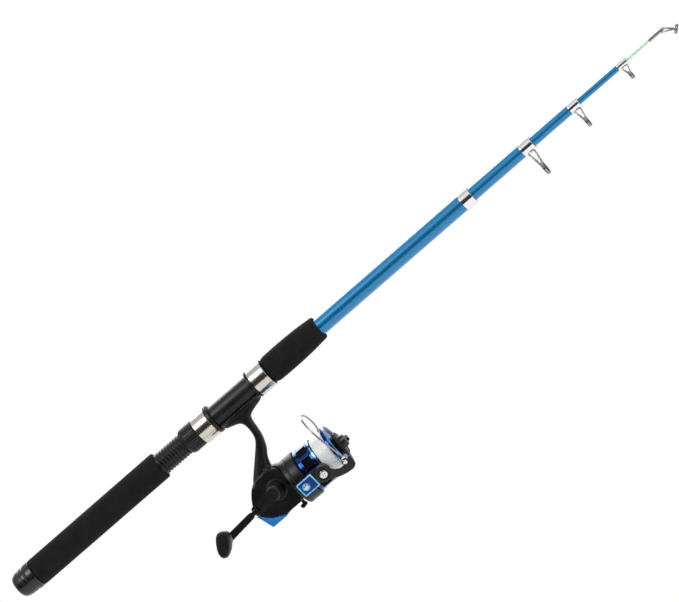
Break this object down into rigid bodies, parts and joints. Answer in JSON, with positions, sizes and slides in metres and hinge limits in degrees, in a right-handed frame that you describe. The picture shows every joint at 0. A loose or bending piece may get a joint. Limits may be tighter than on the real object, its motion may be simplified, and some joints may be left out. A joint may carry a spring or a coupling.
{
  "type": "telescopic fishing rod with spinning reel",
  "caption": "Telescopic fishing rod with foam grips and wire guides, and a small spinning reel with a folding crank, a bail and a winged drag knob.",
  "frame": {"origin": "centre of the butt cap's flat end face", "axes": "+X along the rod to the tip, -Z to the reel, -Y to the crank's side"},
  "size_m": [0.714, 0.0925, 0.1187],
  "materials": {
    "foam": "closed-cell foam, matt",
    "black_plastic": "moulded, fine grain",
    "polished_steel": "polished",
    "blue_lacquer": "metallic lacquer on glass fibre",
    "glow_tip": "pale green, solid glass fibre",
    "ceramic": "polished",
    "blue_plating": "vacuum metallised plastic",
    "nylon": "clear line, wound",
    "brass": "turned",
    "steel": "turned",
    "zinc": "die cast"
  },
  "bodies": {
    "rod_handle": {"butt_cap": "black_plastic", "rear_grip": "foam", "reel_seat": "black_plastic", "fixed_hood_sleeve": "polished_steel", "fore_grip": "foam", "blank_section_1": "blue_lacquer", "ferrule_1": "polished_steel", "reel_body": "black_plastic", "side_cover": "black_plastic", "cover_screw_1": "steel", "cover_screw_2": "steel", "tail_cover": "blue_plating", "axle_bush_near": "brass", "axle_bush_far": "brass", "pinion_bearing": "steel"},
    "sliding_hood": {"sliding_hood_core": "black_plastic", "sliding_hood_sleeve": "polished_steel"},
    "locking_nut": {"locking_nut": "black_plastic"},
    "section_2": {"blank_section_2": "blue_lacquer", "guide_1_frame": "polished_steel", "guide_1_ring": "ceramic"},
    "section_3": {"blank_section_3": "blue_lacquer", "guide_2_frame": "polished_steel", "guide_2_ring": "ceramic"},
    "section_4": {"blank_section_4": "blue_lacquer", "guide_3_frame": "polished_steel", "guide_3_ring": "ceramic"},
    "tip": {"tip_section": "glow_tip", "tip_top_frame": "polished_steel", "tip_top_ring": "ceramic"},
    "crank": {"drive_gear": "zinc", "drive_axle": "steel", "crank_shank": "black_plastic", "crank_fold_pin": "steel"},
    "crank_arm": {"crank_arm": "black_plastic", "knob_rivet": "steel"},
    "crank_knob": {"crank_knob": "black_plastic"},
    "oscillation_gear": {"oscillation_gear": "zinc"},
    "rotor": {"rotor": "black_plastic", "pinion": "brass", "rotor_nut": "brass", "anti_reverse_ratchet": "steel", "arm_cover_near": "blue_plating", "arm_cover_far": "blue_plating", "arm_cover_screw_near": "steel", "arm_cover_screw_far": "steel", "bail_pivot_screw": "polished_steel", "bail_holder_screw": "polished_steel"},
    "bail": {"bail_arm": "black_plastic", "bail_wire": "polished_steel", "bail_holder": "black_plastic"},
    "line_roller": {"line_roller": "polished_steel"},
    "main_shaft": {"main_shaft": "steel", "oscillation_slider": "zinc", "drag_washers": "steel"},
    "spool": {"spool": "blue_plating", "wound_line": "nylon"},
    "drag_knob": {"drag_knob": "black_plastic"},
    "anti_reverse_lever": {"anti_reverse_lever": "black_plastic", "anti_reverse_pawl": "steel"}
  },
  "joints": [
    {"name": "hood_slide", "type": "slide", "parent": "rod_handle", "child": "sliding_hood", "axis": [1, 0, 0], "range_m": [-0.026, 0]},
    {"name": "nut_turn", "type": "hinge", "parent": "sliding_hood", "child": "locking_nut", "pos_m": [0.194, 0, 0], "axis": [1, 0, 0], "range_deg": [-3121, 1]},
    {"name": "section_2_slide", "type": "slide", "parent": "rod_handle", "child": "section_2", "axis": [1, 0, 0], "range_m": [-0.0527, 0.357]},
    {"name": "section_3_slide", "type": "slide", "parent": "section_2", "child": "section_3", "axis": [1, 0, 0], "range_m": [-0.0392, 0.367]},
    {"name": "section_4_slide", "type": "slide", "parent": "section_3", "child": "section_4", "axis": [1, 0, 0], "range_m": [-0.0407, 0.3605]},
    {"name": "tip_slide", "type": "slide", "parent": "section_4", "child": "tip", "axis": [1, 0, 0], "range_m": [-0.0232, 0.366]},
    {"name": "crank_turn", "type": "hinge", "parent": "rod_handle", "child": "crank", "pos_m": [0.221, 0, -0.0774], "axis": [0, 1, 0], "continuous": true},
    {"name": "rotor_turn", "type": "hinge", "parent": "rod_handle", "child": "rotor", "pos_m": [0.24, 0, -0.083], "axis": [1, 0, 0], "continuous": true},
    {"name": "oscillation_turn", "type": "hinge", "parent": "rod_handle", "child": "oscillation_gear", "pos_m": [0.2088, 0, -0.0774], "axis": [0, 1, 0], "continuous": true},
    {"name": "crank_fold", "type": "hinge", "parent": "crank", "child": "crank_arm", "pos_m": [0.20256, -0.03375, -0.07895], "axis": [-0.0837, 0, 0.9965], "range_deg": [0, 90]},
    {"name": "knob_spin", "type": "hinge", "parent": "crank_arm", "child": "crank_knob", "pos_m": [0.16868, -0.05, -0.08179], "axis": [0, 1, 0], "continuous": true},
    {"name": "shaft_stroke", "type": "slide", "parent": "rod_handle", "child": "main_shaft", "axis": [1, 0, 0], "range_m": [0, 0.009]},
    {"name": "drag_slip", "type": "hinge", "parent": "main_shaft", "child": "spool", "pos_m": [0.265, 0, -0.083], "axis": [1, 0, 0], "continuous": true},
    {"name": "drag_knob_turn", "type": "hinge", "parent": "main_shaft", "child": "drag_knob", "pos_m": [0.286, 0, -0.083], "axis": [1, 0, 0], "range_deg": [0, 1080]},
    {"name": "bail_open", "type": "hinge", "parent": "rotor", "child": "bail", "pos_m": [0.2618, 0, -0.083], "axis": [0, 0.9483, 0.3173], "range_deg": [0, 100]},
    {"name": "line_roller_spin", "type": "hinge", "parent": "bail", "child": "line_roller", "pos_m": [0.2815, -0.02193, -0.09498], "axis": [0, 0.9483, 0.3173], "continuous": true},
    {"name": "anti_reverse_swing", "type": "hinge", "parent": "rod_handle", "child": "anti_reverse_lever", "pos_m": [0.23, 0.005, -0.0938], "axis": [1, 0, 0], "range_deg": [0, 25]}
  ],
  "couplings": [
    {"joint": "rotor_turn", "follows": "crank_turn", "ratio": -5},
    {"joint": "oscillation_turn", "follows": "crank_turn", "ratio": -1},
    {"joint": "nut_turn", "follows": "hood_slide", "rad_per_m": 2094.4}
  ]
}
